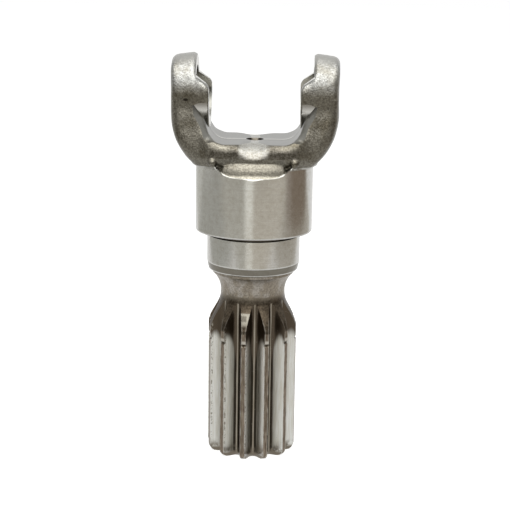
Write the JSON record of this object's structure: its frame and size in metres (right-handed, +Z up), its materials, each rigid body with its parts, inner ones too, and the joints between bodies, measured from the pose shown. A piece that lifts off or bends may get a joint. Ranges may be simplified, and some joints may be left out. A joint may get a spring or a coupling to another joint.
{
  "type": "universal joint yoke shaft",
  "caption": "One-piece forged steel yoke: two ears with a cross bore on top of a stepped, turned shaft that ends in an external spline.",
  "frame": {"origin": "middle of the flat end face of the spline, on which the part stands", "axes": "+Z up along the shaft towards the ears, +X along the cross bore, so the gap between the ears opens along Y; -Y faces the camera"},
  "size_m": [0.0748, 0.053, 0.1846],
  "materials": {
    "steel": "satin"
  },
  "bodies": {
    "root": {"forged_yoke": "steel"}
  },
  "joints": []
}
